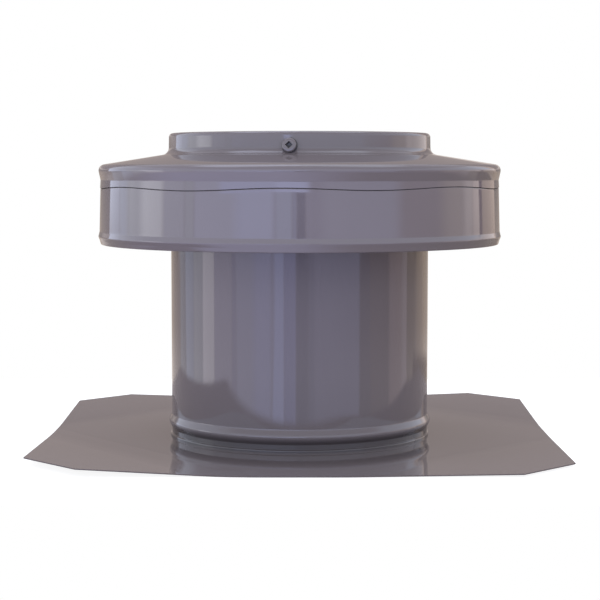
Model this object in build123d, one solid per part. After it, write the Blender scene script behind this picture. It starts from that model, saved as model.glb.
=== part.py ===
from build123d import *
from math import cos, radians, sin, sqrt, tan
import os

# Static roof vent: a square sheet flange, a round tube that stands on it, and a
# spun cap with a skirt. Warm air rises in the tube, leaves through the windows
# near its top and comes out in the ring between the tube and the skirt.
# Millimetres. The origin is the centre of the flange's underside, +Z runs up
# the tube, and the front is -Y. Azimuths are degrees from +X towards +Y.
# Heights of the cap are stacked from the skirt's lower edge up to the crown.

# Sheets and clearances
flange_sheet = 0.8
tube_sheet = 0.8
cap_sheet = 0.6
screen_sheet = 0.6
nest_clearance = 0.15
hole_clearance = 0.1

# Flange, with the azimuth and the angle of each corner's bend
flange_width = 392.0
corner_clip = 42.0
clip_rounding = 1.5
corner_bend_reach = 85.0
corner_bend_radius = 500.0
corner_bends = ((218.0, 3.8), (315.0, 1.2), (135.0, 2.5), (45.0, 3.3))

# Neck of the flange, inside the tube
neck_height = 45.0
neck_bend = 0.8
neck_apron = 8.0

# Tube, with a bead and a small rim at its foot
tube_radius = 101.6
bead_height = 12.3
bead_half_width = 5.4
bead_projection = 2.7
bead_bend = 3.2
bead_end_bend = 2.2
rim_height = 1.6
rim_projection = 1.1
rim_slope = 0.8
rim_bend = 0.2

# Windows of the tube and the screen inside them
window_count = 16
window_width = 30.0
window_rounding = 5.0
window_lift = 6.5
window_headroom = 10.0
screen_margin = 8.0
screen_columns = 40
screen_rows = 3
screen_bar = 2.0

# Cap: skirt edge, rim, cone and crown, from below to above
skirt_bottom = 151.7
skirt_to_rim = 61.5
cone_rise = 9.0
crown_rise = 16.1
cap_radius = 158.5
crown_clearance = 0.8
crown_edge_bend = 2.0
crown_foot_bend = 3.5
cap_rim_bend = 2.0
rim_band = 8.5

# Groove under the rim, and the lip below it with its wavy edge
groove_drop = 11.3
groove_depth = 2.15
groove_bend = 0.9
lip_drop = 5.5
lip_bulge = 0.6
lip_bulge_drop = 3.3
lip_bend = 2.0
lip_tuck = 0.35
lip_waves = 7
lip_wave_height = 1.0
lip_wave_azimuth = 265.0
lip_drift_height = 0.3

# Skirt, locked in the cap's groove, with a bead and a folded hem
skirt_top_drop = 4.2
skirt_shoulder_drop = 4.0
skirt_flare = 0.95
skirt_bead_lift = 5.8
skirt_bead_half_width = 4.2
skirt_bead_projection = 1.2
skirt_bead_bend = 1.6
skirt_bead_end_bend = 2.0
hem_neck_lift = 3.4
hem_neck_depth = 0.5
hem_neck_bend = 0.5
hem_depth = 2.2
hem_return = 5.0
hem_bend = 0.45

# Lap seams, at the back
seam_azimuth = 90.0
seam_lap = 16.0
seam_line_width = 0.4
seam_line_depth = 0.25
seam_end_margin = 3.0

# Crown screws
screw_count = 3
screw_azimuth = 266.0
screw_lift = 5.4
screw_head_radius = 5.3
screw_head_height = 3.3
screw_head_rounding = 1.9
screw_head_crown = 0.5
screw_shank_radius = 2.4
screw_length = 13.0
screw_point = 4.0
screw_tip_radius = 0.6
drive_width = 3.8
drive_depth = 2.2
drive_turn = 45.0

# Rivets
rivet_head_radius = 3.2
rivet_head_height = 1.2
rivet_shank_radius = 1.6
rivet_tail_radius = 2.4
rivet_tail_height = 1.6
screen_rivet_columns = 4
tube_seam_rivet_count = 4
skirt_seam_rivet_count = 2

# Heights that follow
rim_top = skirt_bottom + skirt_to_rim
crown_foot = rim_top + cone_rise
crown_top = crown_foot + crown_rise
crown_corner_reach = max(crown_edge_bend - crown_clearance, 0)
tube_seat_drop = crown_edge_bend - sqrt(crown_edge_bend**2 - crown_corner_reach**2)
tube_top = crown_top - cap_sheet - tube_seat_drop - nest_clearance
groove_height = rim_top - groove_drop
lip_height = groove_height - lip_drop
lip_blank_bottom = lip_height - 2 * lip_wave_height
skirt_shoulder = lip_height - skirt_shoulder_drop
skirt_bead_height = skirt_bottom + skirt_bead_lift
skirt_bead_top = skirt_bead_height + skirt_bead_half_width
window_bottom = skirt_bottom + window_lift
window_top = crown_foot - window_headroom
window_middle = (window_top + window_bottom) / 2
window_height = window_top - window_bottom
screen_bottom = window_bottom - screen_margin
screen_top = window_top + screen_margin

# Radii that follow
tube_bore = tube_radius - tube_sheet
neck_radius = tube_bore - nest_clearance
screen_radius = tube_bore - nest_clearance
screen_bore = screen_radius - screen_sheet
crown_radius = tube_radius + crown_clearance + cap_sheet
groove_radius = cap_radius - groove_depth
lip_radius = groove_radius + lip_bulge
lip_edge_radius = lip_radius - lip_tuck
skirt_neck_radius = groove_radius - cap_sheet - nest_clearance
shoulder_radius = lip_edge_radius - nest_clearance
skirt_radius = shoulder_radius + skirt_flare
through = 2 * flange_width
upright = (Align.CENTER, Align.CENTER, Align.MIN)
outward = (Align.MIN, Align.CENTER, Align.MIN)


# Sheet metal
def square_to(start, end, distance):
    """A step of this distance to the right of the way from start to end."""
    way = (Vector(*end) - Vector(*start)).normalized()
    return Vector(way.Y, -way.X) * distance


def sheet_section(points, bends, sheet):
    """Section of a folded sheet. Its near face follows the points, with the metal on
    their right, and each bend is the radius on its inside."""
    near_radii = []
    far_radii = []
    far_points = [Vector(*points[0]) + square_to(points[0], points[1], sheet)]
    for before, corner, after, bend in zip(points, points[1:], points[2:], bends):
        arriving = square_to(before, corner, 1)
        leaving = square_to(corner, after, 1)
        far_points.append(Vector(*corner) + (arriving + leaving) * (sheet / (1 + arriving.dot(leaving))))
        turns_right = arriving.cross(leaving).Z < 0
        near_radii.append(bend + sheet if turns_right else bend)
        far_radii.append(bend if turns_right else bend + sheet)
    far_points.append(Vector(*points[-1]) + square_to(points[-2], points[-1], sheet))
    near = FilletPolyline(*points, radius=near_radii)
    far = FilletPolyline(*far_points, radius=far_radii)
    ends = [Line(near @ 0, far @ 0), Line(near @ 1, far @ 1)]
    return Plane.XZ * make_face([*near.edges(), *far.edges(), *ends])


def sheet_ring(points, bends, sheet):
    """A folded sheet turned about the vent's axis."""
    return revolve(sheet_section(points, bends, sheet), Axis.Z)


def turned(*lines):
    """A solid turned about the vent's axis from lines that close an outline."""
    return revolve(Plane.XZ * make_face([edge for line in lines for edge in line.edges()]), Axis.Z)


def drum(radius, bottom, top):
    """A plain cylinder on the vent's axis."""
    return Pos(0, 0, bottom) * Cylinder(radius, top - bottom, align=upright)


def facing_out(azimuth, height):
    """A place on the axis whose own +Z looks out along the azimuth."""
    return Rot(0, 0, azimuth) * Pos(0, 0, height) * Rot(0, 90, 0)


def peg(radius, inner, outer):
    """A round bar along +Z from one distance to another."""
    return Pos(0, 0, inner) * Cylinder(radius, outer - inner, align=upright)


def peg_holes(places, radius, inner, outer):
    """Cutters for the holes of pegs at these azimuths and heights."""
    cutter = peg(radius + hole_clearance, inner, outer)
    return [facing_out(azimuth, height) * cutter for azimuth, height in places]


def spread(bottom, top, count):
    """Heights spread evenly between two ends."""
    pitch = (top - bottom) / count
    return [bottom + pitch * (number + 0.5) for number in range(count)]


# Flange
def flange_outline():
    """The square with clipped corners, flat on the ground."""
    square = chamfer(Rectangle(flange_width, flange_width).vertices(), corner_clip)
    return fillet(square.vertices(), clip_rounding)


def corner_knee(azimuth):
    """Distance from the axis to the line that a corner is bent about."""
    clip_middle = (flange_width - corner_clip) / 2
    reach = clip_middle * (abs(cos(radians(azimuth))) + abs(sin(radians(azimuth))))
    return reach - corner_bend_reach


def corner_zone(azimuth, bend):
    """The space from where a corner's bend starts to well past its tip."""
    start = corner_knee(azimuth) - corner_bend_radius * tan(radians(bend) / 2)
    block = Box(through, through, through, align=(Align.MIN, Align.CENTER, Align.CENTER))
    return Rot(0, 0, azimuth) * Pos(start, 0, 0) * block


def bent_corner(azimuth, bend):
    """One corner of the flange, bent up by a few degrees about a line across it."""
    knee = corner_knee(azimuth)
    tip = (knee + flange_width, flange_width * tan(radians(bend)))
    section = sheet_section([tip, (knee, 0), (0, 0)], [corner_bend_radius], flange_sheet)
    sheet = Rot(0, 0, azimuth) * extrude(section, amount=flange_width, both=True)
    return sheet & corner_zone(azimuth, bend) & extrude(flange_outline(), amount=through)


def bead_points(radius):
    """The tube's bead, from above to below, on a wall of this radius."""
    return [
        (radius, bead_height + bead_half_width),
        (radius + bead_projection, bead_height),
        (radius, bead_height - bead_half_width),
    ]


def flange_neck():
    """The neck drawn up from the plate, with the bead rolled through it."""
    points = [(neck_radius, neck_height), *bead_points(neck_radius)]
    points += [(neck_radius, flange_sheet), (neck_radius + neck_apron, flange_sheet)]
    return sheet_ring(points, [bead_end_bend, bead_bend, bead_end_bend, neck_bend], flange_sheet)


def base_flange():
    """The plate with its bent corners and its neck, one pressed sheet."""
    plate = extrude(flange_outline(), amount=flange_sheet)
    plate -= [corner_zone(azimuth, bend) for azimuth, bend in corner_bends]
    plate += [bent_corner(azimuth, bend) for azimuth, bend in corner_bends]
    plate -= drum(neck_radius + neck_apron, -flange_sheet, 2 * flange_sheet)
    return plate + flange_neck()


# Places of the fasteners, as azimuths and heights
tube_seam_bottom = neck_height + seam_end_margin
tube_seam_top = screen_bottom - seam_end_margin
skirt_seam_bottom = skirt_bead_top + seam_end_margin
skirt_seam_top = skirt_shoulder - seam_end_margin
tube_seam_heights = spread(tube_seam_bottom, tube_seam_top, tube_seam_rivet_count)
skirt_seam_heights = spread(skirt_seam_bottom, skirt_seam_top, skirt_seam_rivet_count)
tube_seam_places = [(seam_azimuth, height) for height in tube_seam_heights]
skirt_seam_places = [(seam_azimuth, height) for height in skirt_seam_heights]
screen_rivet_places = [
    (360 / screen_rivet_columns * (column + 0.5), height)
    for column in range(screen_rivet_columns)
    for height in (window_bottom - screen_margin / 2, window_top + screen_margin / 2)
]
screw_azimuths = [screw_azimuth + 360 / screw_count * number for number in range(screw_count)]
screw_places = [(azimuth, crown_foot + screw_lift) for azimuth in screw_azimuths]


# Lap seams
def seam_strip(outer_form, inner_form, bottom, top):
    """The lapped edge of a rolled sheet, inside along the seam."""
    block = Pos(0, 0, bottom) * Box(through, seam_lap, top - bottom, align=outward)
    return (outer_form - inner_form) & (Rot(0, 0, seam_azimuth) * block)


def seam_line(bottom_radius, top_radius, bottom, top):
    """Cutter for the fine line outside, where the rolled sheet ends."""
    outline = Polyline(
        (bottom_radius - seam_line_depth, bottom),
        (bottom_radius + seam_line_depth, bottom),
        (top_radius + seam_line_depth, top),
        (top_radius - seam_line_depth, top),
        close=True,
    )
    groove = extrude(make_face(Plane.XZ * outline), amount=seam_line_width / 2, both=True)
    return Rot(0, 0, seam_azimuth) * Pos(0, seam_lap / 2, 0) * groove


# Tube
def window_cutters():
    """Long rounded blocks, each cutting a window and the one opposite."""
    block = Box(through, window_width, window_height)
    block = fillet(block.edges().filter_by(Axis.X), window_rounding)
    pitch = 360 / window_count
    return [Rot(0, 0, pitch * number) * Pos(0, 0, window_middle) * block for number in range(window_count // 2)]


def collar_tube():
    """The rolled tube, from its rim on the flange up into the crown."""
    rim_radius = tube_radius + rim_projection
    points = [
        (tube_radius, tube_top),
        *bead_points(tube_radius),
        (tube_radius, flange_sheet + rim_height + rim_slope),
        (rim_radius, flange_sheet + rim_height),
        (rim_radius, flange_sheet),
    ]
    tube = sheet_ring(points, [bead_end_bend, bead_bend, bead_end_bend, rim_bend, rim_bend], tube_sheet)
    outer_form = drum(tube_radius - tube_sheet / 2, tube_seam_bottom, tube_seam_top)
    inner_form = drum(tube_radius - 2 * tube_sheet, tube_seam_bottom, tube_seam_top)
    tube += seam_strip(outer_form, inner_form, tube_seam_bottom, tube_seam_top)
    inner = screen_bore - tube_sheet
    outer = tube_radius + tube_sheet
    return tube - [
        seam_line(tube_radius, tube_radius, tube_seam_bottom, tube_seam_top),
        *window_cutters(),
        *peg_holes(tube_seam_places + screen_rivet_places, rivet_shank_radius, inner, outer),
        *peg_holes(screw_places, screw_shank_radius, inner, outer),
    ]


# Screen
def insect_screen():
    """A thin band with a grid of gaps, edged by a plain strip above and below."""
    band = drum(screen_radius, screen_bottom, screen_top) - drum(screen_bore, screen_bottom, screen_top)
    row_pitch = window_height / screen_rows
    column_pitch = 2 * screen_radius * sin(radians(180 / screen_columns))
    gap = Box(4 * screen_sheet, column_pitch - screen_bar, row_pitch - screen_bar)
    gaps = [
        Rot(0, 0, 360 / screen_columns * (column + 0.5)) * Pos(screen_radius, 0, height) * gap
        for height in spread(window_bottom, window_top, screen_rows)
        for column in range(screen_columns)
    ]
    inner = screen_bore - screen_sheet
    return band - [*gaps, *peg_holes(screen_rivet_places, rivet_shank_radius, inner, tube_radius)]


# Cap
crown_points = [
    (0, crown_top),
    (crown_radius, crown_top),
    (crown_radius, crown_foot),
    (cap_radius, rim_top),
]


def lip_edge_height(azimuth):
    """Height of the lip's lower edge, which waves gently round the cap."""
    turn = radians(azimuth - lip_wave_azimuth)
    return lip_height + lip_wave_height * cos(lip_waves * turn) + lip_drift_height * sin(2 * turn)


def wavy_ring(radius):
    """The line of the lip's edge, drawn at this radius."""
    steps = 8 * lip_waves
    azimuths = [360 / steps * number for number in range(steps)]
    points = [
        Vector(radius * cos(radians(azimuth)), radius * sin(radians(azimuth)), lip_edge_height(azimuth))
        for azimuth in azimuths
    ]
    return Edge.make_spline(points, periodic=True)


def lip_trimmer():
    """A ring below the lip whose top follows the wavy edge."""
    inner = skirt_neck_radius - cap_sheet
    outer = cap_radius + cap_sheet
    wavy_face = Face.make_surface_from_curves(wavy_ring(inner), wavy_ring(outer))
    return Solid.extrude(wavy_face, Vector(0, 0, -lip_drop))


def spun_cap():
    """Crown, cone, rim, groove and lip, spun from one sheet."""
    points = [
        *crown_points,
        (groove_radius, groove_height),
        (lip_radius, groove_height - lip_bulge_drop),
        (lip_edge_radius, lip_blank_bottom),
    ]
    bends = [crown_edge_bend, crown_foot_bend, cap_rim_bend, groove_bend, lip_bend]
    return sheet_ring(points, bends, cap_sheet)


def inner_cap():
    """The space inside the line where the spun sheet is parted in two."""
    return drum(cap_radius - rim_band, lip_blank_bottom, crown_top + cap_sheet)


def cap_top():
    """The spun sheet's crown and cone."""
    holes = peg_holes(screw_places, screw_shank_radius, tube_radius, crown_radius + cap_sheet)
    return (spun_cap() & inner_cap()) - holes


def cap_rim():
    """The spun sheet's rim, groove and lip, which carry on from the cone."""
    return spun_cap() - [inner_cap(), lip_trimmer()]


# Skirt
def skirt_face(height):
    """Radius of the skirt's outer face between its bead and its shoulder."""
    share = (height - skirt_bead_top) / (skirt_shoulder - skirt_bead_top)
    return skirt_radius + share * (shoulder_radius - skirt_radius)


def skirt_form(inset):
    """The space inside the skirt's wall, at this depth under its outer face."""
    outline = Polyline(
        (0, skirt_bead_top),
        (skirt_radius - inset, skirt_bead_top),
        (shoulder_radius - inset, skirt_shoulder),
        (0, skirt_shoulder),
        close=True,
    )
    return turned(outline)


def hook_radius():
    """Radius of the skirt's top edge, hooked over the groove inside the rim."""
    share = 1 - skirt_top_drop / groove_drop
    return groove_radius + share * groove_depth - cap_sheet - nest_clearance


def cap_skirt():
    """The rolled band below the rim."""
    hem_inside = skirt_radius - hem_depth
    points = [
        (hook_radius(), rim_top - skirt_top_drop),
        (skirt_neck_radius, groove_height),
        (skirt_neck_radius, lip_blank_bottom),
        (shoulder_radius, skirt_shoulder),
        (skirt_radius, skirt_bead_top),
        (skirt_radius + skirt_bead_projection, skirt_bead_height),
        (skirt_radius - hem_neck_depth, skirt_bottom + hem_neck_lift),
        (skirt_radius, skirt_bottom),
        (hem_inside, skirt_bottom),
        (hem_inside, skirt_bottom + hem_return),
    ]
    bead_bends = [skirt_bead_end_bend, skirt_bead_bend, hem_neck_bend]
    skirt = sheet_ring(points, [groove_bend, lip_bend, lip_bend, *bead_bends, hem_bend, hem_bend], cap_sheet)
    seam_forms = (skirt_form(cap_sheet / 2), skirt_form(2 * cap_sheet))
    skirt += seam_strip(*seam_forms, skirt_seam_bottom, skirt_seam_top)
    line_radii = (skirt_face(skirt_seam_bottom), skirt_face(skirt_seam_top))
    inner = shoulder_radius - 4 * cap_sheet
    outer = skirt_radius + cap_sheet
    return skirt - [
        seam_line(*line_radii, skirt_seam_bottom, skirt_seam_top),
        *peg_holes(skirt_seam_places, rivet_shank_radius, inner, outer),
    ]


# Rivets
def rivets(places, outer_form, inner_form, face_radius, stack):
    """Rivets through a wall, each head and tail lying on its curve."""
    dome_radius = (rivet_head_radius**2 + rivet_head_height**2) / (2 * rivet_head_height)
    solids = []
    for azimuth, height in places:
        place = facing_out(azimuth, height)
        outer = face_radius(height)
        inner = outer - stack
        dome = Pos(0, 0, outer + rivet_head_height - dome_radius) * Sphere(dome_radius)
        head = place * dome - outer_form
        tail = (place * peg(rivet_tail_radius, inner - rivet_tail_height, outer)) & inner_form
        shank = place * peg(rivet_shank_radius, inner - rivet_tail_height / 2, outer + rivet_head_height / 2)
        solids += (head + tail + shank).solids()
    return Compound(solids)


def tube_rivets(places, stack):
    """Rivets in the tube's wall."""
    outer_form = drum(tube_radius, 0, crown_top)
    inner_form = drum(tube_radius - stack, 0, crown_top)
    return rivets(places, outer_form, inner_form, lambda height: tube_radius, stack)


def tube_seam_rivets():
    return tube_rivets(tube_seam_places, 2 * tube_sheet)


def screen_rivets():
    return tube_rivets(screen_rivet_places, tube_radius - screen_bore)


def skirt_seam_rivets():
    stack = 2 * cap_sheet
    return rivets(skirt_seam_places, skirt_form(0), skirt_form(stack), skirt_face, stack)


# Crown screws
def screw_head():
    """A pan head along +Z, reaching a little below the crown's wall."""
    seat = crown_radius - cap_sheet
    top = crown_radius + screw_head_height
    side = FilletPolyline(
        (screw_head_radius, seat),
        (screw_head_radius, top - screw_head_crown),
        (0, top),
        radius=screw_head_rounding,
    )
    return turned(side, Polyline((0, top), (0, seat), (screw_head_radius, seat)))


def screw_shank():
    """The screw's shank and point, inwards from the crown's wall."""
    tip = crown_radius - screw_length
    outline = Polyline(
        (0, tip),
        (screw_tip_radius, tip),
        (screw_shank_radius, tip + screw_point),
        (screw_shank_radius, crown_radius + cap_sheet),
        (0, crown_radius + cap_sheet),
        close=True,
    )
    return turned(outline)


def crown_form():
    """The space inside the crown's and the cone's outer face."""
    face_line = FilletPolyline(*crown_points, radius=[crown_edge_bend + cap_sheet, crown_foot_bend])
    return turned(face_line, Polyline((cap_radius, rim_top), (0, rim_top), (0, crown_top)))


def crown_screws():
    """The screws that hold the crown to the tube, their heads bedded on the crown."""
    recess = Pos(0, 0, crown_radius + screw_head_height) * Box(drive_width, drive_width, 2 * drive_depth)
    head = screw_head() - Rot(0, 0, drive_turn) * recess
    form = crown_form()
    solids = []
    for azimuth, height in screw_places:
        place = facing_out(azimuth, height)
        solids += (place * head - form + place * screw_shank()).solids()
    return Compound(solids)


def write_parts(*makers):
    """One file for each piece, named after the function that makes it."""
    os.makedirs("parts", exist_ok=True)
    for maker in makers:
        export_step(maker(), f"parts/{maker.__name__}.step")


write_parts(
    base_flange,
    collar_tube,
    tube_seam_rivets,
    insect_screen,
    screen_rivets,
    cap_top,
    cap_rim,
    cap_skirt,
    skirt_seam_rivets,
    crown_screws,
)
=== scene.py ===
# %% [markdown]
# A static roof vent, ready for its picture.
#
# The vent is a square flange with a tube on it, and a spun cap with a skirt on the tube. All of
# it is thin sheet in a glossy taupe grey paint. The measured model is loaded first, as a fixed
# frame in metres, with the ground at z = 0 and the vent's axis on the z axis. Its solids stay
# where they are. This file gives them their finish, models what a plain solid can't show, and
# sets up the studio round them.

# %% Load the measured model
from math import atan2, cos, pi, radians, sin, sqrt, tan

import bmesh
import bpy
from mathutils import Matrix, Vector


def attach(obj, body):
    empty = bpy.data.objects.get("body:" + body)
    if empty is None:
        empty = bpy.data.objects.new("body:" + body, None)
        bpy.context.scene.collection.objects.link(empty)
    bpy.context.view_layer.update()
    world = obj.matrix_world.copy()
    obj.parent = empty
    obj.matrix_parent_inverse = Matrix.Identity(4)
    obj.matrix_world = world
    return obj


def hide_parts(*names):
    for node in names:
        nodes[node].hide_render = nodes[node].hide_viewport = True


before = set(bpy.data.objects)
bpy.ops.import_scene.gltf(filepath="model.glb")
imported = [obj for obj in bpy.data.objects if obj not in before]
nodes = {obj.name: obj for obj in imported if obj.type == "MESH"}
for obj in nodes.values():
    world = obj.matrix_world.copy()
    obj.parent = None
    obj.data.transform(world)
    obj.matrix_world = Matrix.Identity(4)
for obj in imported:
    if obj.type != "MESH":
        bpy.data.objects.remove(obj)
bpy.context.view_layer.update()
print("solids:", ", ".join(sorted(nodes)))

# %% [markdown]
# The camera comes first, because every choice after it is judged through it.
#
# A product picture like this one is taken from a little above the vent's middle with a long
# lens, so that the flange shows as a flat band and the cap's cone just shows. The place, the
# tilt and the lens were worked out from the flange's corners and the cap's outline.

# %% Camera
camera = bpy.data.objects.new("camera", bpy.data.cameras.new("camera"))
bpy.context.scene.collection.objects.link(camera)
bpy.context.scene.camera = camera
camera.data.sensor_width = 36.0
camera.data.lens = 101.465
camera.location = (0.0003, -1.34074, 0.21265)
camera.rotation_euler = (radians(90 - 4.528), 0, 0)
bpy.context.scene.view_settings.view_transform = "Standard"
camera_place = tuple(round(place, 3) for place in camera.location)
print("lens:", round(camera.data.lens, 1), "mm, from", camera_place)

# %% [markdown]
# Next come two small tools for materials.
#
# A material is a graph of nodes. Its maths reads better as plain arithmetic, so a wire wraps a
# socket, and each operation on it adds one Math node. Every other node comes from one method,
# which takes the node's type, its settings and the values or wires of its sockets.


# %% A socket that takes part in arithmetic
class Wire:
    """An output socket. Arithmetic on it adds Math nodes to the same tree."""

    def __init__(self, recipe, socket):
        self.recipe = recipe
        self.socket = socket

    def __add__(self, other):
        return self.recipe.maths("ADD", self, other)

    def __radd__(self, other):
        return self.recipe.maths("ADD", other, self)

    def __sub__(self, other):
        return self.recipe.maths("SUBTRACT", self, other)

    def __rsub__(self, other):
        return self.recipe.maths("SUBTRACT", other, self)

    def __mul__(self, other):
        return self.recipe.maths("MULTIPLY", self, other)

    def __rmul__(self, other):
        return self.recipe.maths("MULTIPLY", other, self)

    def __truediv__(self, other):
        return self.recipe.maths("DIVIDE", self, other)


# %% A recipe that adds nodes
class Recipe:
    """The node tree of one material or world."""

    def __init__(self, tree):
        tree.nodes.clear()
        self.tree = tree

    def add(self, kind, settings=None, inputs=None, output=0):
        """Adds a node from its type, its settings and its sockets' values or wires."""
        node = self.tree.nodes.new("ShaderNode" + kind)
        for name, value in (settings or {}).items():
            setattr(node, name, value)
        for name, value in (inputs or {}).items():
            if isinstance(value, Wire):
                self.tree.links.new(value.socket, node.inputs[name])
            else:
                node.inputs[name].default_value = value
        return Wire(self, node.outputs[output]) if node.outputs else node

    def maths(self, operation, *values):
        return self.add("Math", {"operation": operation}, dict(enumerate(values)))

    def between(self, value, low, high):
        """0 below low and 1 above high, with a smooth slope between them."""
        ends = {"Value": value, "From Min": low, "From Max": high}
        return self.add("MapRange", {"interpolation_type": "SMOOTHSTEP"}, ends)

    def mix(self, factor, first, second, blend="MIX"):
        """Two colours mixed by a factor."""
        settings = {"data_type": "RGBA", "blend_type": blend}
        return self.add("Mix", settings, {0: factor, 6: first, 7: second}, 2)

    def noise(self, vector, scale, detail=2.0):
        """Noise from 0 to 1, about this many waves to a metre."""
        return self.add("TexNoise", None, {"Vector": vector, "Scale": scale, "Detail": detail})


def new_material(name):
    material = bpy.data.materials.new(name)
    material.use_nodes = True
    return material, Recipe(material.node_tree)


# %% [markdown]
# The studio is a pale room with soft light from all round.
#
# Gloss paint on a drum is a curved mirror. It shows the room as upright bands, so the room
# matters as much as the paint. Lamps and panels could be set up round the vent, but each would
# show its own hard outline. So the room is painted on the world by direction instead: a plain
# wall colour, and soft-edged bands of light on it. An azimuth of 0 is behind the camera, and it
# grows towards the right hand.

# %% Directions in the room
world = bpy.data.worlds.new("studio")
world.use_nodes = True
bpy.context.scene.world = world
room = Recipe(world.node_tree)
direction = room.add("TexCoord", output="Generated")
across, along, up = (
    room.add("SeparateXYZ", inputs={"Vector": direction}, output=axis) for axis in range(3)
)
azimuth = room.maths("ARCTAN2", across, along * -1)
elevation = room.maths("ARCSINE", up)


def span(value, low, high, soft):
    """1 between two limits in degrees, 0 outside, with a soft edge of this many degrees."""
    edge = radians(soft) / 2
    inside = room.between(value, radians(low) - edge, radians(low) + edge)
    return inside * (1 - room.between(value, radians(high) - edge, radians(high) + edge))


def climb(low, high):
    """0 below one elevation in degrees and 1 above another."""
    return room.between(elevation, radians(low), radians(high))


# %% [markdown]
# Next come the walls, in three layers.
#
# The wall behind the vent is what the flange and the two ends of the drum mirror, since they
# are seen at a low angle. Then come the bands at eye level, which the upright skirt and tube
# mirror, and the bands at the table's level, which show in the tube's lower half. Each row holds
# its left and right side in degrees, its softness and its colour. A later row lies on the
# earlier ones, so a soft row laid over its neighbour blends into it.

# %% Wall behind the vent
skirting = (0.36, 0.31, 0.28, 1)
pale_strip = (0.78, 0.68, 0.63, 1)
wall = (0.43, 0.365, 0.345, 1)
back_wall = room.mix(climb(1.5, 4), skirting, pale_strip)
back_wall = room.mix(climb(5.6, 7.6), back_wall, wall)


# %% Bands at eye level
def paint_round(light, walls):
    """Lays upright bands on the light: left and right side, softness, colour."""
    for left, right, soft, colour in walls:
        light = room.mix(span(azimuth, left, right, soft), light, (*colour, 1))
    return light


eye_level = paint_round(back_wall, [
    (-137.6, -123.4, 0.8, (1.85, 2.0, 2.45)),
    (-123.4, -113, 3, (1.8, 1.98, 2.4)),
    (-114, -95, 8, (2.15, 2.3, 2.5)),
    (-100, -81, 9, (3.75, 3.9, 4.2)),
    (-81.5, -67, 3, (2.05, 2.2, 2.6)),
    (-67, -60.5, 3, (1.9, 2.1, 2.4)),
    (-60.5, -34, 2, (2.12, 2.3, 3.05)),
    (-36, -13, 8, (2.35, 2.65, 3.95)),
    (-13, -3.8, 3, (1.9, 2.2, 3.15)),
    (-3.8, -1.4, 2, (1.2, 1.4, 2.2)),
    (-1.4, 3.3, 1.5, (0.1, 0.2, 0.45)),
    (3.3, 60, 2, (1.25, 1.27, 1.75)),
    (13, 60, 10, (1.6, 1.67, 2.2)),
    (57, 91, 12, (1.1, 0.96, 1.05)),
    (87, 106, 12, (1.62, 1.4, 1.3)),
    (105, 116, 8, (2.1, 1.85, 1.8)),
    (115, 122.8, 3, (2.3, 1.95, 1.85)),
    (122.8, 126.3, 1.2, (0.35, 0.25, 0.3)),
    (126.3, 148.5, 2, (1.2, 0.96, 0.82)),
])

# %% Bands at the table's level
table_level = paint_round((0.6, 0.5, 0.42, 1), [
    (-133, -120, 1.0, (0.75, 0.75, 0.8)),
    (-120, -108, 2, (1.2, 1.3, 1.6)),
    (-108, -93.5, 3, (1.55, 1.6, 1.75)),
    (-95, -80.8, 2, (2.9, 2.8, 3.05)),
    (-80.8, -61.7, 1.5, (1.55, 1.5, 1.9)),
    (-61.7, -57, 1.5, (1.15, 1.15, 1.65)),
    (-57, -40, 2, (1.45, 1.5, 2.1)),
    (-41, -24, 6, (1.5, 1.6, 2.55)),
    (-24, -13.5, 2, (1.7, 1.9, 3.2)),
    (-13.5, -3, 2, (1.0, 1.1, 2.0)),
    (-3, 7.2, 2, (0.4, 0.45, 0.68)),
    (7.2, 54, 2, (0.6, 0.66, 1.0)),
    (13, 54, 5, (0.84, 0.88, 1.3)),
    (54, 66.5, 1.5, (0.32, 0.3, 0.33)),
    (66.5, 86, 3, (0.46, 0.38, 0.33)),
    (86, 110.4, 3, (0.98, 0.76, 0.72)),
    (102, 110.4, 4, (1.15, 0.95, 0.95)),
    (110.4, 124, 1.5, (0.6, 0.48, 0.36)),
    (126, 153, 3, (0.75, 0.6, 0.47)),
])
rise = room.between(up, sin(radians(-4)), sin(radians(1)))
light = room.mix(rise, table_level, eye_level)
foreground = 1 - room.between(up, sin(radians(-7.5)), sin(radians(-5)))
light = room.mix(foreground, light, (0.28, 0.28, 0.3, 1), "ADD")

# %% [markdown]
# Patches of light go over the walls last.
#
# Some lie low in front, where the rolled rim and the flange look. Others lie higher up, where
# the crown, the cone and the fillets between them look, up to two wide ones overhead. Each row
# holds a left and right side with their softness, a low and high end with theirs, and a colour.
#
# The camera itself sees plain white behind the vent. That white is for the camera's own rays
# alone, so it adds no light to the vent.

# %% Patches of light
patches = [
    (120, 165, 3, -90, -6.4, 0.6, (0.4, 0.33, 0.28)),
    (-200, 200, 10, -90, -11, 5, (0.5, 0.44, 0.38)),
    (-95, 15, 60, -90, -11, 5, (1.6, 1.65, 2.4)),
    (-178, -167, 4, 4.5, 8, 1.5, (0.43, 0.365, 0.345)),
    (-45, 5, 6, 2.8, 9, 1, (2.5, 2.85, 4.5)),
    (-13, 4, 6, 2.8, 9, 1, (3.0, 3.4, 5.4)),
    (115, 146, 4, 2.8, 9, 1, (1.8, 1.6, 1.55)),
    (-140, 140, 10, 9, 33, 4, (1.6, 1.72, 2.0)),
    (-200, 200, 10, 33, 100, 8, (1.0, 1.0, 1.1)),
    (-200, -60, 20, 58, 100, 8, (3.0, 3.2, 3.9)),
    (60, 200, 20, 58, 100, 8, (2.4, 2.6, 3.0)),
]
for left, right, side_soft, low, high, end_soft, colour in patches:
    patch = span(azimuth, left, right, side_soft) * span(elevation, low, high, end_soft)
    light = room.mix(patch, light, (*colour, 1))

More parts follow.
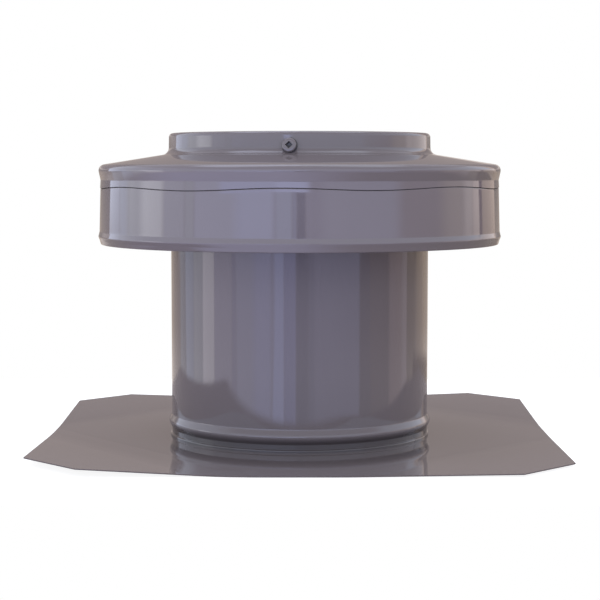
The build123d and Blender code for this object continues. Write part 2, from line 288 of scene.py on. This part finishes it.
# %% White for the camera alone
seen_by_camera = room.add("LightPath")
background = room.add("Background", None, {"Color": light, "Strength": 1.0})
white = room.add("Background", None, {"Color": (1, 1, 1, 1), "Strength": 1.0})
both = room.add("MixShader", None, {0: seen_by_camera, 1: background, 2: white})
room.add("OutputWorld", None, {"Surface": both})
print("room:", len(world.node_tree.nodes), "nodes")

# %% [markdown]
# The vent stands on a small table.
#
# The tube's foot mirrors the table, and past the table's edges it mirrors the room. Those edges
# show on the tube as soft arcs, so the table's size matters and a floor without an end would
# lose them. The camera sees the table as white paper with the vent's shadow on it. All other
# rays see a plain brownish board, which fades out towards its edges. A straight cut takes off
# its right front corner.

# %% Table top
below_flange = -0.0002
floor_mesh = bmesh.new()
bmesh.ops.create_grid(floor_mesh, x_segments=1, y_segments=1, size=0.5)
bmesh.ops.scale(floor_mesh, vec=(0.98, 0.63, 1), verts=floor_mesh.verts[:])
bmesh.ops.translate(floor_mesh, vec=(-0.005, 0.025, below_flange), verts=floor_mesh.verts[:])
floor = bpy.data.objects.new("floor", bpy.data.meshes.new("floor"))
floor_mesh.to_mesh(floor.data)
floor_mesh.free()
bpy.context.scene.collection.objects.link(floor)
print("table:", [round(side, 2) for side in floor.dimensions], "m")

# %% Paper for the camera, board for the rest
paper, surface = new_material("table")
shade = surface.add("BsdfDiffuse", None, {"Color": (0.3, 0.3, 0.3, 1)})
glow = surface.add("Emission", None, {"Color": (1, 1, 1, 1), "Strength": 0.9})
lit = surface.add("AddShader", None, {0: shade, 1: glow})
plain = surface.add("BsdfDiffuse", None, {"Color": (0.33, 0.28, 0.25, 1)})
clear = surface.add("BsdfTransparent")
place = surface.add("TexCoord", output="Object")
x, y = (surface.add("SeparateXYZ", inputs={"Vector": place}, output=axis) for axis in range(2))
sides = ((x * -1, 0.455), (x, 0.445), (y * -1, 0.25), (y, 0.30))
cut_corner = (x - y, 0.395)
half_fade = 0.035
board = 1
for value, limit in (*sides, cut_corner):
    board = board * (1 - surface.between(value, limit - half_fade, limit + half_fade))
faded = surface.add("MixShader", None, {0: board, 1: clear, 2: plain})
seen = surface.add("LightPath")
shown = surface.add("MixShader", None, {0: seen, 1: faded, 2: lit})
surface.add("OutputMaterial", None, {"Surface": shown})
floor.data.materials.append(paper)

# %% [markdown]
# The cap is one sheet, spun on a lathe over a form.
#
# In the measured model its crown and its rim are two solids, and the screws sit on a true
# cylinder. The real sheet runs through without a joint, and it is pulled in a little where the
# screws clamp it to the tube. So the cap is spun once more here: half of its section is drawn
# as a line, the line's corners are rounded, and it is turned about the axis.
#
# A vertex bevel rounds a corner. Its width is the length of the arc's tangent, which is the
# radius times the tangent of half the turn.

# %% Section of the cap
millimetre = 0.001
sheet = 0.6 * millimetre
cap_section = [
    ((0.0, 238.3), 0.0),
    ((102.8, 238.3), 3.0),
    ((103.15, 222.2), 5.5),
    ((158.9, 213.2), 5.0),
    ((156.4, 202.0), 2.4),
    ((156.8, 194.55), 0.0),
    ((156.35, 194.4), 0.0),
]


def draw_section(mesh, section):
    """Draws a section's line in the XZ plane from its corners, in mm, and rounds them."""
    corners = [mesh.verts.new((x * millimetre, 0, z * millimetre)) for (x, z), _ in section]
    edges = [mesh.edges.new(pair) for pair in zip(corners, corners[1:])]
    for corner, (_, radius) in zip(corners, section):
        if radius:
            before, after = (edge.other_vert(corner).co - corner.co for edge in corner.link_edges)
            tangent = radius * millimetre / tan(before.angle(after) / 2)
            bmesh.ops.bevel(
                mesh, geom=[corner], affect="VERTICES", offset=tangent,
                segments=6, profile=0.5, material=-1,
            )
    return edges


def turn_about_axis(mesh, steps):
    """Turns all that is in the mesh once round the z axis, and closes the seam and the pole."""
    spun = mesh.verts[:] + mesh.edges[:]
    bmesh.ops.spin(
        mesh, geom=spun, cent=(0, 0, 0), axis=(0, 0, 1), angle=2 * pi, steps=steps, use_merge=True
    )
    bmesh.ops.remove_doubles(mesh, verts=mesh.verts[:], dist=1e-6)
    bmesh.ops.recalc_face_normals(mesh, faces=mesh.faces[:])


cap_mesh = bmesh.new()
draw_section(cap_mesh, cap_section)
print("section:", len(cap_mesh.verts), "points")
turn_about_axis(cap_mesh, 480)
print("turned:", len(cap_mesh.faces), "faces")

# %% [markdown]
# Two touches of the hand follow.
#
# The lip was trimmed freehand, so its lower edge waves by about a millimetre. The wave is the
# model's own, and the lip's last rows of points move up or down to it. The screws' clamping
# pulls the sheet in a little. Here it shows in the two bends, above and below the crown's wall.

# %% The lip's wave and the dishes round the screws
front = radians(266)
screw_turns = [front + 2 * pi / 3 * number for number in range(3)]
screw_height = 0.2276
lip_blank = 194.4 * millimetre
lip_mean = 196.4 * millimetre
lip_lean = 0.4 / 7.0


def lip_edge(turn):
    """Height of the lip's lower edge at this angle round the axis."""
    turned = turn - radians(265)
    return lip_mean + (1.0 * cos(7 * turned) + 0.3 * sin(2 * turned)) * millimetre


def dish(vertex, turn, depth, reach, lift, shift):
    """Pushes the wall in round a point beside a screw."""
    radius = sqrt(vertex.co.x ** 2 + vertex.co.y ** 2)
    outwards = Vector((cos(turn), sin(turn), 0))
    sideways = Vector((-sin(turn), cos(turn), 0))
    away = Vector((vertex.co.dot(sideways) - shift, vertex.co.z - screw_height - lift)).length
    if vertex.co.dot(outwards) > 0 and radius > 0.1:
        push = depth * max(0, 1 - (away / reach) ** 2) ** 2
        vertex.co -= Vector((vertex.co.x, vertex.co.y, 0)) / radius * push


# %% Cut edge, wave and dishes
# The lip's narrow cut edge gets the black material: painted shade for the dark line under the lip's
# edge.
painted_shade_edge = 1
cut_edge_top = 195.0 * millimetre
lip_rows_top = 195.5 * millimetre
for face in cap_mesh.faces:
    if face.calc_center_median().z < cut_edge_top:
        face.material_index = painted_shade_edge
for vertex in cap_mesh.verts:
    if vertex.co.z < lip_rows_top:
        raised = lip_edge(atan2(vertex.co.y, vertex.co.x)) - lip_blank
        vertex.co -= Vector((vertex.co.x, vertex.co.y, 0)).normalized() * raised * lip_lean
        vertex.co.z += raised
    for turn in screw_turns:
        dish(vertex, turn, depth=0.45 * millimetre, reach=0.0075, lift=0.0012, shift=-0.0018)
bmesh.ops.solidify(cap_mesh, geom=cap_mesh.faces[:], thickness=sheet)


# %% Helpers that hand a mesh over
def finished_piece(name, mesh, sharp=40):
    """Makes the piece's object from its mesh, smooth but for its sharp edges."""
    piece = bpy.data.objects.new(name, bpy.data.meshes.new(name))
    mesh.to_mesh(piece.data)
    mesh.free()
    piece.data.shade_smooth()
    piece.data.set_sharp_from_angle(angle=radians(sharp))
    bpy.context.scene.collection.objects.link(piece)
    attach(piece, "root")
    heights = sorted(vertex.co.z for vertex in piece.data.vertices)
    reach = max(vertex.co.xy.length for vertex in piece.data.vertices)
    print(name, "z", round(heights[0], 4), "to", round(heights[-1], 4))
    print("  radius", round(reach, 4), "faces", len(piece.data.polygons))
    return piece


def add_mesh(whole, part):
    """Puts a part's mesh into a larger one."""
    passing = bpy.data.meshes.new("passing")
    part.to_mesh(passing)
    part.free()
    whole.from_mesh(passing)
    bpy.data.meshes.remove(passing)


# %% Spun cap
spun_cap = finished_piece("spun_cap", cap_mesh)
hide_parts("cap_top", "cap_rim")

# %% [markdown]
# The skirt is a rolled band that hooks into the cap's groove.
#
# In the measured model it has a wide shoulder under the lip. On the real vent the band runs
# straight up to the lip, so that no more than a dark line shows there, and its hem is rolled in
# a little at the foot. It is turned from a section of its own. The short shoulder follows the
# lip's wave, and one column of points at the back is pressed in as the edge of the lap seam.

# %% Section of the skirt
skirt_section = [
    ((157.0, 209.0), 0.0),
    ((155.3, 203.0), 0.9),
    ((155.4, 196.35), 0.1),
    ((156.5, 195.9), 0.3),
    ((157.5, 161.7), 2.0),
    ((158.5, 157.8), 2.0),
    ((157.35, 154.9), 0.5),
    ((156.5, 151.75), 0.8),
    ((155.0, 151.75), 0.4),
    ((155.0, 156.7), 0.0),
]
skirt_mesh = bmesh.new()
draw_section(skirt_mesh, skirt_section)
band = [edge for edge in skirt_mesh.edges if edge.calc_length() > 0.02]
bmesh.ops.subdivide_edges(skirt_mesh, edges=band, cuts=14)
print("skirt section:", len(skirt_mesh.verts), "points")
turn_about_axis(skirt_mesh, 480)

# %% Skirt's shoulder and seam
shoulder_low, shoulder_high = 190.0 * millimetre, 198.0 * millimetre
seam_line, half_column = radians(93), radians(0.4)
seam_foot, seam_depth = 161.0 * millimetre, 0.3 * millimetre
for vertex in skirt_mesh.verts:
    turn = atan2(vertex.co.y, vertex.co.x)
    if shoulder_low < vertex.co.z < shoulder_high:
        vertex.co.z += lip_edge(turn) - lip_mean
    if abs(turn - seam_line) < half_column and vertex.co.z > seam_foot:
        vertex.co -= Vector((vertex.co.x, vertex.co.y, 0)).normalized() * seam_depth
bmesh.ops.solidify(skirt_mesh, geom=skirt_mesh.faces[:], thickness=sheet)
rolled_skirt = finished_piece("rolled_skirt", skirt_mesh)
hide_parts("cap_skirt")

# %% [markdown]
# Three pan-head screws hold the crown to the tube.
#
# They were driven by hand, so none stands quite square, and the front one looks up a little.
# A screw starts as one ring of points under its head. The ring is extruded again and again, and
# each new ring gets its own radius and height. Over the recess the ring is pressed square. The
# thread is a small triangle turned about the screw's axis while it travels along it.

# %% Screw head, ring by ring
head_rings = [
    ("round", 2.4, -1.2),
    ("round", 4.7, -1.2),
    ("round", 5.9, 0.2),
    ("round", 5.9, 0.8),
    ("round", 5.4, 1.1),
    ("round", 5.45, 2.1),
    ("round", 5.3, 2.6),
    ("round", 5.0, 3.0),
    ("round", 4.4, 3.25),
    ("round", 3.4, 3.35),
    ("square", 2.0, 3.37),
    ("square", 1.9, 3.2),
    ("square", 1.7, 1.5),
    ("square", 0.5, 1.0),
]
thread_pitch = 1.4 * millimetre
thread_turns = 5
painted_shade_and_bare_steel = 1


def ring_radius(form, size, turn):
    """Distance from the axis to a ring's point, where a square's size is half its width."""
    return size if form == "round" else size / max(abs(cos(turn)), abs(sin(turn)))


def screw_mesh():
    """A screw along +z whose head starts at z = 0."""
    screw = bmesh.new()
    bmesh.ops.create_circle(screw, segments=48, radius=1.9 * millimetre)
    bmesh.ops.translate(screw, vec=(0, 0, -9 * millimetre), verts=screw.verts[:])
    loop = screw.edges[:]
    for form, size, height in [("round", 1.9, -1.2)] + head_rings:
        grown = bmesh.ops.extrude_edge_only(screw, edges=loop)["geom"]
        loop = [part for part in grown if isinstance(part, bmesh.types.BMEdge)]
        for vertex in (part for part in grown if isinstance(part, bmesh.types.BMVert)):
            turn = atan2(vertex.co.y, vertex.co.x)
            distance = ring_radius(form, size, turn) * millimetre
            vertex.co = (distance * cos(turn), distance * sin(turn), height * millimetre)
    bmesh.ops.contextual_create(screw, geom=loop)
    lowest = [edge for edge in screw.edges if edge.is_boundary]
    point = bmesh.ops.extrude_edge_only(screw, edges=lowest)["geom"]
    tip = [part for part in point if isinstance(part, bmesh.types.BMVert)]
    bmesh.ops.pointmerge(screw, verts=tip, merge_co=(0, 0, -13 * millimetre))
    thread = bmesh.new()
    profile = ((1.8, -9.4), (1.8, -8.2), (2.4, -8.8))
    thread.faces.new([thread.verts.new((x * millimetre, 0, z * millimetre)) for x, z in profile])
    bmesh.ops.spin(
        thread, geom=thread.faces[:], cent=(0, 0, 0), axis=(0, 0, 1),
        dvec=(0, 0, thread_pitch / 24), angle=thread_turns * 2 * pi, steps=thread_turns * 24,
    )
    bmesh.ops.recalc_face_normals(thread, faces=thread.faces[:])
    bmesh.ops.recalc_face_normals(screw, faces=screw.faces[:])
    # Faces low on the head's side and in the recess get the black material: painted shade for the
    # gap under the head and for the recess. The thread is black as bare steel.
    for face in screw.faces:
        middle = face.calc_center_median() / millimetre
        in_recess = middle.xy.length < 2.2 and middle.z < 3.3
        face.material_index = painted_shade_and_bare_steel if middle.z < 2.1 or in_recess else 0
    for face in thread.faces:
        face.material_index = painted_shade_and_bare_steel
    add_mesh(screw, thread)
    return screw


# %% The three screws in their places
crown_radius = 103.0 * millimetre
all_screws = bmesh.new()
lifts, leans, drives = (11, 2, -3), (-8, 2, 1), (44, 18, 71)
for turn, lift, lean, drive in zip(screw_turns, lifts, leans, drives):
    screw = screw_mesh()
    seat = Vector((crown_radius * cos(turn), crown_radius * sin(turn), screw_height))
    outwards = Matrix.Rotation(turn + radians(lean), 4, "Z")
    upwards = Matrix.Rotation(radians(90 - lift), 4, "Y")
    driven = Matrix.Rotation(radians(drive), 4, "Z")
    place = Matrix.Translation(seat) @ outwards @ upwards @ driven
    bmesh.ops.transform(screw, matrix=place, verts=screw.verts[:])
    add_mesh(all_screws, screw)
pan_head_screws = finished_piece("pan_head_screws", all_screws)
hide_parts("crown_screws")

# %% [markdown]
# A woven screen keeps insects out of the windows.
#
# The measured model has a coarse grid in its place. Here the wires go over and under each
# other. One hoop is a small square turned about the axis, and one upright is a small square
# drawn up in steps. Each is then bent in and out by a cosine, and copied round or up.

# %% Woven screen
wire = 0.15 * millimetre
middle_radius = 100.3 * millimetre
uprights = 160
rows = 18
low_edge, high_edge = 150.4 * millimetre, 220.0 * millimetre
row_pitch = (high_edge - low_edge) / rows
weave = 0.13 * millimetre
screen_mesh = bmesh.new()
for row in range(rows + 1):
    ring = bmesh.new()
    centre = Matrix.Translation((middle_radius, 0, low_edge + row * row_pitch))
    upright = centre @ Matrix.Rotation(pi / 2, 4, "X")
    bmesh.ops.create_circle(ring, segments=4, radius=wire, matrix=upright)
    turn_about_axis(ring, 3 * uprights)
    for vertex in ring.verts:
        turn = atan2(vertex.co.y, vertex.co.x)
        vertex.co.xy *= 1 - weave / middle_radius * cos(uprights / 2 * turn + row * pi)
    add_mesh(screen_mesh, ring)
print("hoops:", len(screen_mesh.faces), "faces")

# %% Uprights
for phase in range(2):
    bar = bmesh.new()
    foot = Matrix.Translation((middle_radius, 0, low_edge))
    bmesh.ops.create_circle(bar, segments=4, radius=wire, matrix=foot)
    loop = bar.edges[:]
    for step in range(2 * rows):
        grown = bmesh.ops.extrude_edge_only(bar, edges=loop)["geom"]
        loop = [part for part in grown if isinstance(part, bmesh.types.BMEdge)]
        tops = [part for part in grown if isinstance(part, bmesh.types.BMVert)]
        bmesh.ops.translate(bar, vec=(0, 0, row_pitch / 2), verts=tops)
    for vertex in bar.verts:
        vertex.co.x += weave * cos(pi * (vertex.co.z - low_edge) / row_pitch + phase * pi)
    pitch_turn = 2 * pi / uprights
    bmesh.ops.rotate(bar, matrix=Matrix.Rotation(pitch_turn * phase, 3, "Z"), verts=bar.verts[:])
    bmesh.ops.recalc_face_normals(bar, faces=bar.faces[:])
    around = bar.verts[:] + bar.edges[:] + bar.faces[:]
    bmesh.ops.spin(
        bar, geom=around, cent=(0, 0, 0), axis=(0, 0, 1), use_duplicate=True,
        angle=2 * pi - 2 * pitch_turn, steps=uprights // 2 - 1,
    )
    add_mesh(screen_mesh, bar)

# %% Edge strips
inside, outside = 100.05, 100.6
for low, high in ((150.2, 157.8), (212.6, 220.2)):
    strip = bmesh.new()
    outline = (inside, low), (outside, low), (outside, high), (inside, high), (inside, low)
    draw_section(strip, [(place, 0.0) for place in outline])
    turn_about_axis(strip, 160)
    add_mesh(screen_mesh, strip)
woven_screen = finished_piece("woven_screen", screen_mesh)
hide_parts("insect_screen")

# %% [markdown]
# The paint is a baked gloss enamel in a warm grey.
#
# Its colour is nearly even. What makes it look like sheet metal is in the gloss: the coat has
# fine dimples, and the sheet under it is never quite true. On a rolled wall that shows as
# upright ripples, because the rollers bend it a little more here and a little less there. The
# ripples follow the angle round the axis, so the noise is read on a unit circle.

# %% Paint
def enamel(name, colour, ripple=12e-6, wave=0.0, gloss=0.03, crease=None):
    """Baked gloss paint on sheet. Ripples follow the rolled walls, and waves a flat sheet."""
    material, paint = new_material(name)
    place = paint.add("TexCoord", output="Object")
    x, y, z = (paint.add("SeparateXYZ", inputs={"Vector": place}, output=axis) for axis in range(3))
    radius = paint.maths("SQRT", x * x + y * y + 1e-6)
    round_wall = paint.add("CombineXYZ", inputs={0: x / radius, 1: y / radius, 2: z})
    ripples = paint.noise(round_wall, 9.0, 3.0)
    waves = paint.noise(place, 11.0, 2.0)
    dimples = paint.noise(place, 380.0, 1.0)
    height = ripples * ripple + waves * wave + dimples * 5.0e-6
    normal = paint.add("Bump", inputs={"Height": height, "Distance": 1.0, "Strength": 1.0})
    smudges = paint.noise(place, 16.0, 4.0)
    dark = tuple(0.95 * part for part in colour) + (1,)
    pale = tuple(1.05 * part for part in colour) + (1,)
    shown = paint.mix(smudges, dark, pale)
    # Below the crease height the paint is darkened to 0.4 of its colour: painted shade in the
    # crease under the tube's bead.
    if crease:
        crease_shade = tuple(0.4 * part for part in colour) + (1,)
        shown = paint.mix(paint.between(z, crease - 0.002, crease + 0.002), crease_shade, shown)
    shader = paint.add("BsdfPrincipled", inputs={
        "Base Color": shown,
        "Roughness": smudges * 0.03 + gloss,
        "IOR": 1.5,
        "Normal": normal,
    })
    paint.add("OutputMaterial", inputs={"Surface": shader})
    return material


# %% Bare metal
def bare_metal(name, colour, roughness):
    """Uncoated aluminium, a little uneven in its shine."""
    material, metal = new_material(name)
    place = metal.add("TexCoord", output="Object")
    patches = metal.noise(place, 600.0, 2.0)
    shader = metal.add("BsdfPrincipled", inputs={
        "Base Color": (*colour, 1),
        "Metallic": 1.0,
        "Roughness": patches * 0.15 + roughness,
    })
    metal.add("OutputMaterial", inputs={"Surface": shader})
    return material


# %% [markdown]
# One paint covers nearly all of the vent, but it isn't the same on each piece.
#
# On the rolled and spun pieces it shows ripples. On the flange it shows the slow waves of a flat
# sheet, and on small heads nothing but dimples. On the tube it is darkened in the crease under the
# bead, as painted shade. The lip's cut edge is black, as painted shade for the dark line under the
# lip. The screws are black under their heads and in their recesses, as painted shade, and their
# threads are bare black steel. The screen and its rivets are bare aluminium.

# %% Finishes
taupe = (0.117, 0.0985, 0.0985)
black = (0.012, 0.011, 0.012)
paint_on_rolled_sheet = enamel("taupe_enamel_on_rolled_sheet", taupe, wave=30e-6)
paint_on_tube = enamel("taupe_enamel_on_tube", taupe, wave=30e-6, crease=0.0095)
paint_on_flat_sheet = enamel("taupe_enamel_on_flat_sheet", taupe, ripple=0.0, wave=60e-6)
paint_on_fasteners = enamel("taupe_enamel_on_fasteners", taupe, ripple=0.0)
# This black is bare steel on the threads, and painted shade on the lip's cut edge and on the screw
# heads' lower sides and recesses.
black_steel_and_painted_shade = enamel("black_steel_and_painted_shade", black, ripple=0.0, gloss=0.35)
bright_wire = bare_metal("bright_wire", (0.6, 0.6, 0.61), 0.3)
satin_aluminium = bare_metal("satin_aluminium", (0.62, 0.62, 0.63), 0.35)

# %% Finishes on the measured solids
for material, members in (
    (paint_on_rolled_sheet, ("cap_skirt", "cap_top", "cap_rim")),
    (paint_on_tube, ("collar_tube",)),
    (paint_on_flat_sheet, ("base_flange",)),
    (paint_on_fasteners, ("crown_screws", "tube_seam_rivets", "skirt_seam_rivets")),
    (bright_wire, ("insect_screen",)),
    (satin_aluminium, ("screen_rivets",)),
):
    for name in members:
        for slot in nodes[name].material_slots:
            slot.material = material
        print(name, "has", material.name)

# %% Finishes on the new pieces
for piece, materials in (
    (spun_cap, (paint_on_rolled_sheet, black_steel_and_painted_shade)),
    (rolled_skirt, (paint_on_rolled_sheet,)),
    (woven_screen, (bright_wire,)),
    (pan_head_screws, (paint_on_fasteners, black_steel_and_painted_shade)),
):
    for material in materials:
        piece.data.materials.append(material)
    print(piece.name, "has", [material.name for material in materials])
